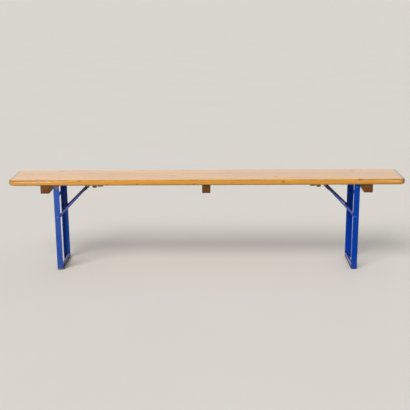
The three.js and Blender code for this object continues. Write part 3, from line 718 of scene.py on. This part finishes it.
# ---------------------------------------------------------------------------------------------
# braces: round bar, hammered flat and cranked at both ends
# ---------------------------------------------------------------------------------------------
def brace(side, end, sx, sy):
    tab_half, tab_t, rod_r, tip_y = 8.0, 4.0, 5.0, 40.0
    rise, run = BRACE_TIP[1] - BRACE_Z, HINGE[0] - BRACE_TIP[0]
    length, slope_a = math.hypot(rise, run), math.atan2(rise, run)
    y0 = -FRAME_HALF + STEEL + 0.3 + tab_t / 2
    travel = -tip_y - y0
    smooth = lambda v: (lambda c: c * c * (3 - 2 * c))(min(1.0, max(0.0, v)))
    lean = lambda t: smooth((t - 11) / 12) * (1 - smooth((t - (length - 23)) / 12))
    t0, t1, fine = -tab_half, length + tab_half, 4000
    mids = [lean(t0 + (i - 0.5) / fine * (t1 - t0)) for i in range(1, fine + 1)]
    sums = np.concatenate([[0.0], np.cumsum(mids)])
    scale = travel / sums[-1]
    sideways = lambda t: y0 + scale * np.interp((t - t0) / (t1 - t0) * fine, np.arange(fine + 1), sums)
    slope = lambda t: scale * lean(t) * fine / (t1 - t0)
    near = [-7.98, -7.9, -7.7, -7.3, -6.6, -5.6, -4.2, -2.4, 0.0, 3.0] + list(np.arange(6.0, 36.0, 1.5))
    far = [length - t for t in near][::-1]
    middle = list(np.linspace(near[-1], far[0], 26))[1:-1]
    stations = near + middle + far
    cols = 32
    verts, wear = [], []
    for t in stations:
        d = min(t, length - t)
        k = smooth((d - 15) / 20)
        half = math.sqrt(max(0.02, tab_half**2 - d * d)) if d < 0 else tab_half
        thick = tab_t / 2 * (1.0 if d > -7.4 else 0.86)
        e = 0.30 + 0.70 * k
        s = slope(t)
        n = math.hypot(1, s)
        for c in range(cols):
            a = 2 * math.pi * c / cols
            ca, sa = math.sin(a), math.cos(a)
            pull = lambda q: 0.0 if abs(q) < 1e-6 else math.copysign(abs(q) ** e, q)
            w = pull(ca) * (half + (rod_r - half) * k)
            v = -pull(sa) * (thick + (rod_r - thick) * k)
            along = t - v * s / n
            x = HINGE[0] - along * math.cos(slope_a) + w * math.sin(slope_a)
            z = BRACE_Z + along * math.sin(slope_a) + w * math.cos(slope_a)
            verts.append((sx * x, sy * (sideways(t) + v / n), z))
            flat_edge = (1 - k) * (0.55 if abs(ca) > 0.93 else 0.0)
            wear.append(max(flat_edge, 0.25 * k, 0.7 if d < -7 else 0.0))
    faces = grid(len(stations), cols, closed_cols=True)
    for base in (0, (len(stations) - 1) * cols):
        centre = len(verts)
        ring = verts[base : base + cols]
        verts.append(tuple(sum(v[i] for v in ring) / cols for i in range(3)))
        wear.append(0.9)
        faces += [(base + i, base + (i + 1) % cols, centre) for i in range(cols)]
    return made(f"{side}_{end}_brace_bar", verts, faces, M["braces"], f"brace_{side}", [f"{side}_{end}_brace"],
                wear, sharp=50.0)


# ---------------------------------------------------------------------------------------------
# turned pieces
# ---------------------------------------------------------------------------------------------
def turned(name, profile, place, material, body, node, sides=48, axis="y", flip=1, wear=None, sharp=38.0, wobble=0.0):
    """profile: [radius, height] from end to end. place: where height 0 is, in millimetres."""
    verts, wears = [], []
    ends = []
    for i, (r, h) in enumerate(profile):
        if r == 0:
            ends.append((i, len(verts)))
            verts.append((0.0, h, 0.0))
            wears.append(0.4 if wear is None else wear[i])
            continue
        for k in range(sides):
            a = 2 * math.pi * k / sides
            rr = r * (1 + wobble * math.sin(2 * a + i) + wobble * 0.6 * math.sin(5 * a + 2 * i))
            verts.append((rr * math.cos(a), h, rr * math.sin(a)))
            wears.append(0.0 if wear is None else wear[i])
    faces = []
    starts, pos = [], 0
    for r, h in profile:
        starts.append(pos)
        pos += 1 if r == 0 else sides
    for i in range(len(profile) - 1):
        a, b = starts[i], starts[i + 1]
        ra, rb = profile[i][0], profile[i + 1][0]
        for k in range(sides):
            k2 = (k + 1) % sides
            if ra == 0 and rb:
                faces.append((a, b + k, b + k2))
            elif rb == 0 and ra:
                faces.append((a + k, a + k2, b))
            elif ra and rb:
                faces.append((a + k, a + k2, b + k2, b + k))
    out = []
    for x, y, z in verts:
        y *= flip
        v = (x, y, z) if axis == "y" else (x, -z, y)
        out.append(tuple(p + q for p, q in zip(v, place)))
    return made(name, out, faces, material, body, [node], wears, sharp=sharp)


def rivet(side, end, sx, sy, which, z, head_r, inner, tail_r):
    out_h = 3.4
    dome = [(head_r * math.sin(t), -out_h * math.cos(t) ** 0.9) for t in np.linspace(0, math.pi / 2 * 0.97, 12)]
    dome[0] = (0.0, -out_h)
    profile = dome + [(head_r, -0.25), (head_r - 0.1, 0.0), (4.0, 0.0)]
    reach = inner + 0.2 + FRAME_HALF
    profile += [(4.0, reach), (tail_r - 0.15, reach), (tail_r, reach + 0.3)]
    tail = [(tail_r * math.cos(t), reach + 0.3 + 2.3 * math.sin(t)) for t in np.linspace(0, math.pi / 2, 9)][1:]
    tail[-1] = (0.0, tail[-1][1])
    profile += tail
    # The dome's crown is marked worn: wear, and partly a lighter spot that stands as a painted glint.
    wear = [0.62 if h < -2.6 else 0.3 for r, h in profile]
    if (side, end, which) == ("left", "front", "hinge"):
        wear = [1.4] * len(profile)
    return turned(f"{side}_{end}_{which}_rivet_head", profile, (sx * HINGE[0], -sy * FRAME_HALF, z), M["rivet_" + side],
                  f"leg_{side}", f"{side}_{end}_{which}_rivet", flip=sy, wear=wear, wobble=0.012)


def screw(node, x, y, seat, top, body, head_r=4.5, head_h=2.6, turn=0.3):
    """A pan-head wood screw with a cross recess, standing on its point upward."""
    verts, wears, faces = [], [], []
    sides = 48
    radii = [0.0, 0.25, 0.5, 0.75, 1.0, 1.25, 1.5, 1.8, 2.1, 2.4, 2.8, 3.2, 3.6, 3.9, 4.15, 4.35, 4.47, 4.5]
    rows = []
    for r in radii:
        row = []
        for k in range(1 if r == 0 else sides):
            a = 2 * math.pi * k / sides
            dome = head_h * math.sqrt(max(0.0, 1 - (r / head_r) ** 2.6)) ** 0.8
            u, v = r * math.cos(a), r * math.sin(a)
            arm = min(abs(u), abs(v))
            reach = max(abs(u), abs(v))
            depth = 1.7 * max(0.0, 1 - reach / 2.7) ** 0.5 if arm < 0.42 and reach < 2.6 else (1.2 * max(0.0, 1 - r / 1.1) if r < 1.1 else 0.0)
            row.append(len(verts))
            ct, st = math.cos(turn), math.sin(turn)
            verts.append((x + u * ct - v * st, y + u * st + v * ct, seat - max(0.0, dome - depth)))
            wears.append(0.9 if depth == 0 and r < 3.3 else 0.2)
        rows.append(row)
    shank = [(4.2, 0.0), (2.2, 0.0), (2.2, top - seat - 5), (1.2, top - seat - 2.5), (0.0, top - seat)]
    for r, h in shank:
        row = []
        for k in range(1 if r == 0 else sides):
            a = 2 * math.pi * k / sides + turn
            row.append(len(verts))
            verts.append((x + r * math.cos(a), y + r * math.sin(a), seat + h))
            wears.append(0.0)
        rows.append(row)
    for a, b in zip(rows, rows[1:]):
        for k in range(sides):
            k2 = (k + 1) % sides
            if len(a) == 1:
                faces.append((a[0], b[k], b[k2]))
            elif len(b) == 1:
                faces.append((a[k], a[k2], b[0]))
            else:
                faces.append((a[k], a[k2], b[k2], b[k]))
    return made(node + "_head", verts, faces, M["screws"], body, [node], wears, sharp=42.0)


def tube(path, r, sides=12):
    """Points and faces of a round wire along a path, with its ends closed."""
    verts, faces = [], []
    path = [Vector(p) for p in path]
    up = Vector((0.123, 0.978, 0.17)).normalized()
    n = len(path)
    for i, p in enumerate(path):
        d = (path[min(i + 1, n - 1)] - path[max(i - 1, 0)]).normalized()
        a = d.cross(up).normalized()
        b = d.cross(a).normalized()
        rr = r[i] if isinstance(r, (list, tuple)) else r
        for k in range(sides):
            t = 2 * math.pi * k / sides
            q = p + (a * math.cos(t) + b * math.sin(t)) * rr
            verts.append(tuple(q))
    faces = grid(n, sides, closed_cols=True)
    for base, c in ((0, path[0]), ((n - 1) * sides, path[-1])):
        verts.append(tuple(c))
        faces += [(base + k, base + (k + 1) % sides, len(verts) - 1) for k in range(sides)]
    return verts, faces


def spring(side, sx):
    """The latch's torsion spring as wound wire, with its two legs."""
    wire, turns, y0 = 0.58, 6, 3.5
    mid = 4.9 + 0.6
    cx, cz = LATCH
    path = [(590.0, y0 + 1.2, 440.0), (575.0, y0 + 1.0, 439.8), (560.0, y0 + 0.8, 439.6)]
    steps = turns * 20
    for i in range(steps + 1):
        a = math.pi / 2 + 2 * math.pi * i / 20
        path.append((cx + mid * math.cos(a), y0 + 0.7 + i / steps * 5.9, cz + mid * math.sin(a)))
    y1 = y0 + 6.6
    path += [(cx - 3.0, y1 - 0.2, cz + mid + 1.6), (cx - 6.5, y1 - 0.4, 445.4), (cx - 9.0, y1 - 0.7, 447.4)]
    verts, faces = tube([(sx * x, y, z) for x, y, z in path], wire, 10)
    return made(f"{side}_latch_spring_wire", verts, faces, M["screws"], f"latch_{side}", [f"{side}_latch_spring"], sharp=60.0)


def weld(name, start, end, r, body, material, seed, normal=(0, 0, 0)):
    """A hand-laid fillet: overlapping ripples along a line."""
    a, b = Vector(start), Vector(end)
    n = max(10, int((b - a).length * 2.2))
    rng = np.random.default_rng(seed)
    phase = rng.uniform(0, 6.28)
    path, radii = [], []
    drift = Vector(normal)
    for i in range(n + 1):
        t = i / n
        s = (b - a).length * t
        taper = min(1.0, 0.35 + 2.6 * min(t, 1 - t))
        path.append(a.lerp(b, t) + drift * (0.25 * math.sin(s * 0.9 + phase)))
        radii.append(r * taper * (1 + 0.13 * math.sin(s * 2.6 + phase) + 0.05 * rng.uniform(-1, 1)))
    verts, faces = tube(path, radii, 12)
    wear = [0.35] * len(verts)
    return made(name, verts, faces, material, body, (), wear, sharp=60.0)


# ---------------------------------------------------------------------------------------------
# assembling both ends
# ---------------------------------------------------------------------------------------------
EAR_IN = -FRAME_HALF + STEEL + 0.3 + STEEL
turn = 0.2
for side, sx in SIDES:
    blue = M["frame_" + side]
    for end, sy in ENDS:
        tag = f"{side}_{end}"
        upright(side, end, sx, sy)
        brace(side, end, sx, sy)
        rivet(side, end, sx, sy, "hinge", HINGE[1], 9.0, EAR_IN, 7.0)
        rivet(side, end, sx, sy, "brace", BRACE_Z, 8.0, -FRAME_HALF + STEEL + 0.3 + 4.0, 6.5)
        softened(f"{tag}_hinge_bracket", f"{tag}_hinge_ear", blue, 0.5, 2)
        for i, (x, y) in enumerate(((755.0, -93.0), (755.0, -77.0))):
            turn += 0.77
            screw(f"{tag}_bracket_screw_{i + 1}", sx * x, sy * y, UNDERSIDE - 3.0, UNDERSIDE + 19, "bench", turn=turn)
    softened(f"{side}_foot_bar", f"{side}_foot_bar_angle", M["bar_" + side], 0.6, 3, wear=0.55)
    softened(f"{side}_upper_bar", f"{side}_upper_bar_flat", blue, 0.7, 3, wear=0.66)
    softened(f"{side}_catch_bracket", f"{side}_catch_sheet", M["catch"], 0.45, 2)
    softened(f"{side}_latch_lever", f"{side}_latch_arm", M["zinc"], 0.45, 2)
    half = [(0.0, 44.6), (3.6, 44.6), (4.4, 44.45), (4.8, 44.1), (5.3, 43.85), (5.55, 43.6), (5.6, 43.3), (5.6, 42.55), (5.4, 42.3),
            (4.0, 42.3), (4.0, 37.7), (5.4, 37.7), (5.6, 37.5), (5.6, 35.9), (5.35, 35.45), (4.7, 35.15), (4.0, 35.0), (4.0, 12.0)]
    pin = [(r, -h) for r, h in half] + [(4.0, 0.0)] + [(r, h) for r, h in half[::-1]]
    turned(f"{side}_brace_pin_bar", pin, (sx * BRACE_TIP[0], 0.0, BRACE_TIP[1]), M["zinc"], f"brace_{side}", f"{side}_brace_pin",
           wear=[0.8 if r > 4.5 else 0.4 for r, h in pin])
    h = 15.6
    pivot = [(0.0, -h - 1.6), (2.6, -h - 1.55), (3.7, -h - 1.3), (4.4, -h - 0.7), (4.6, -h - 0.15), (4.6, -h), (3.0, -h), (3.0, h), (4.6, h), (4.6, h + 0.15), (4.4, h + 0.7), (3.7, h + 1.3), (2.6, h + 1.55), (0.0, h + 1.6)]
    turned(f"{side}_latch_pivot_pin", pivot, (sx * LATCH[0], 0.0, LATCH[1]), M["screws"], "bench", f"{side}_latch_pivot")
    spring(side, sx)
    for where, x in (("inner", 528.0), ("outer", 652.0)):
        turn += 0.9
        screw(f"{side}_catch_screw_{where}", sx * x, 0.0, PLATE_LOW, UNDERSIDE + 19, "bench", turn=turn)
    for end, y in (("front", -78.0), ("rear", 78.0)):
        turn += 1.1
        screw(f"{side}_end_cleat_screw_{end}", sx * END_CLEAT_X, y, UNDERSIDE - CLEAT_H + 6, UNDERSIDE + 19, "bench", turn=turn)
    leg = f"leg_{side}"
    for end, sy in ENDS:
        for what, a, b, r, n in (
            ("foot_top", (747.0, 102.6, FOOT_BAR_TOP + 0.2), (758.5, 102.6, FOOT_BAR_TOP + 0.2), 1.4, (0, 0, 1)),
            ("foot_edge", (748.2, 102.4, 5.0), (748.2, 102.4, 16.0), 1.3, (1, 0, 0)),
            ("upper_top", (768.6, 102.4, UPPER_BAR[1] + 0.3), (771.6, 102.4, UPPER_BAR[1] + 0.3), 1.2, (0, 0, 1)),
            ("upper_face", (767.9, 102.2, UPPER_BAR[0] + 1.5), (767.9, 102.2, UPPER_BAR[1] - 1.5), 1.4, (0, 1, 0)),
        ):
            pa, pb = ((sx * p[0], sy * -p[1], p[2]) for p in (a, b))
            weld(f"{side}_{end}_weld_{what}", pa, pb, r, leg, blue, seed=len(what) * 7 + (sx + 2) * 3 + sy, normal=n)
for end, y in (("front", -78.0), ("rear", 78.0)):
    turn += 1.3
    screw(f"centre_cleat_screw_{end}", 0.0, y, UNDERSIDE - CLEAT_H + 6, UNDERSIDE + 19, "bench", turn=turn)

# ---------------------------------------------------------------------------------------------
# floor, light and camera
# ---------------------------------------------------------------------------------------------
floor_mesh = bpy.data.meshes.new("floor")
floor_mesh.from_pydata([(-2000, -2000, 0), (2000, -2000, 0), (2000, 2000, 0), (-2000, 2000, 0)], [], [(0, 1, 2, 3)])
floor = bpy.data.objects.new("floor", floor_mesh)
scene.collection.objects.link(floor)
floor_mesh.materials.append(flat("pale_floor", (0.62, 0.60, 0.57)))

# The surround is bright low down behind the bench, dimmer overhead and towards the viewer.
world = bpy.data.worlds.new("studio")
scene.world = world
world.use_nodes = True
nt = world.node_tree
nt.nodes.clear()
wg = nt.nodes.new("ShaderNodeTexCoord")
sep = nt.nodes.new("ShaderNodeSeparateXYZ")
nt.links.new(wg.outputs["Generated"], sep.inputs[0])


def ranged(value, lo, hi, to_lo, to_hi):
    node = nt.nodes.new("ShaderNodeMapRange")
    node.interpolation_type = "SMOOTHSTEP"
    nt.links.new(value, node.inputs["Value"])
    for k, v in (("From Min", lo), ("From Max", hi), ("To Min", to_lo), ("To Max", to_hi)):
        if isinstance(v, bpy.types.NodeSocket):
            nt.links.new(v, node.inputs[k])
        else:
            node.inputs[k].default_value = v
    return node.outputs[0]


wall = ranged(sep.outputs["Y"], -0.35, 0.45, WALL_FRONT, WALL_BACK)
level = ranged(sep.outputs["Z"], WALL_TOP[0], WALL_TOP[1], wall, CEILING)
back = nt.nodes.new("ShaderNodeBackground")
back.inputs["Color"].default_value = (1.0, 0.99, 0.975, 1.0)
nt.links.new(level, back.inputs["Strength"])
nt.links.new(back.outputs[0], nt.nodes.new("ShaderNodeOutputWorld").inputs["Surface"])

key_light = bpy.data.lights.new("key", "SUN")
key_light.energy = KEY
key_light.angle = math.radians(KEY_SIZE)
key_light.color = (1.0, 0.99, 0.965)
key = bpy.data.objects.new("key", key_light)
scene.collection.objects.link(key)
key.visible_glossy = False  # so large a light would put a broad band along every rounded edge
key_from = Vector((math.sin(math.radians(KEY_AZ)) * math.cos(math.radians(KEY_EL)),
                   -math.cos(math.radians(KEY_AZ)) * math.cos(math.radians(KEY_EL)), math.sin(math.radians(KEY_EL))))
key.rotation_euler = (-key_from).to_track_quat("-Z", "Y").to_euler()

# Two small bright panes, seen only in the gloss: they draw the slim highlights along the rounded
# edge near both ends and the glints on bars and rivets.
for name, x, width, power in (("pane_left", -1.88, 0.9, PANE_POWER * 1.2), ("pane_right", 1.9, 0.5, PANE_POWER * 0.42)):
    pane_light = bpy.data.lights.new(name, "AREA")
    pane_light.shape = "RECTANGLE"
    pane_light.size, pane_light.size_y = width, 0.3
    pane_light.energy = power
    pane = bpy.data.objects.new(name, pane_light)
    scene.collection.objects.link(pane)
    pane.location = (x, -4.0, 0.9)
    pane.rotation_euler = (Vector((x * 0.45, 0.0, 0.45)) - pane.location).to_track_quat("-Z", "Y").to_euler()
    pane.visible_diffuse = False
    pane.visible_camera = False

# The lens, height and aim of the photograph, from the bench's own edges.
FOCAL_PX, FRAME_PX = 801.9, 410.0
PITCH, YAW, ROLL = 0.2557, -0.0156, -0.0076
camera_data = bpy.data.cameras.new("camera")
camera_data.sensor_width = 36.0
camera_data.sensor_fit = "AUTO"
camera_data.lens = FOCAL_PX * 36.0 / FRAME_PX
camera_data.clip_start, camera_data.clip_end = 0.05, 6000.0
camera = bpy.data.objects.new("camera", camera_data)
scene.collection.objects.link(camera)
ahead = Vector((math.sin(YAW) * math.cos(PITCH), math.cos(YAW) * math.cos(PITCH), -math.sin(PITCH)))
right = Vector((math.cos(YAW), -math.sin(YAW), 0.0))
up = right.cross(ahead)
r2 = right * math.cos(ROLL) + up * math.sin(ROLL)
u2 = up * math.cos(ROLL) - right * math.sin(ROLL)
camera.matrix_world = Matrix.Translation((0.0546, -4.0427, 1.3743)) @ Matrix((
    (r2.x, u2.x, -ahead.x, 0.0), (r2.y, u2.y, -ahead.y, 0.0), (r2.z, u2.z, -ahead.z, 0.0), (0.0, 0.0, 0.0, 1.0)))
scene.camera = camera
scene.view_settings.view_transform = "Standard"
scene.view_settings.look = "None"
scene.view_settings.exposure = 0.0
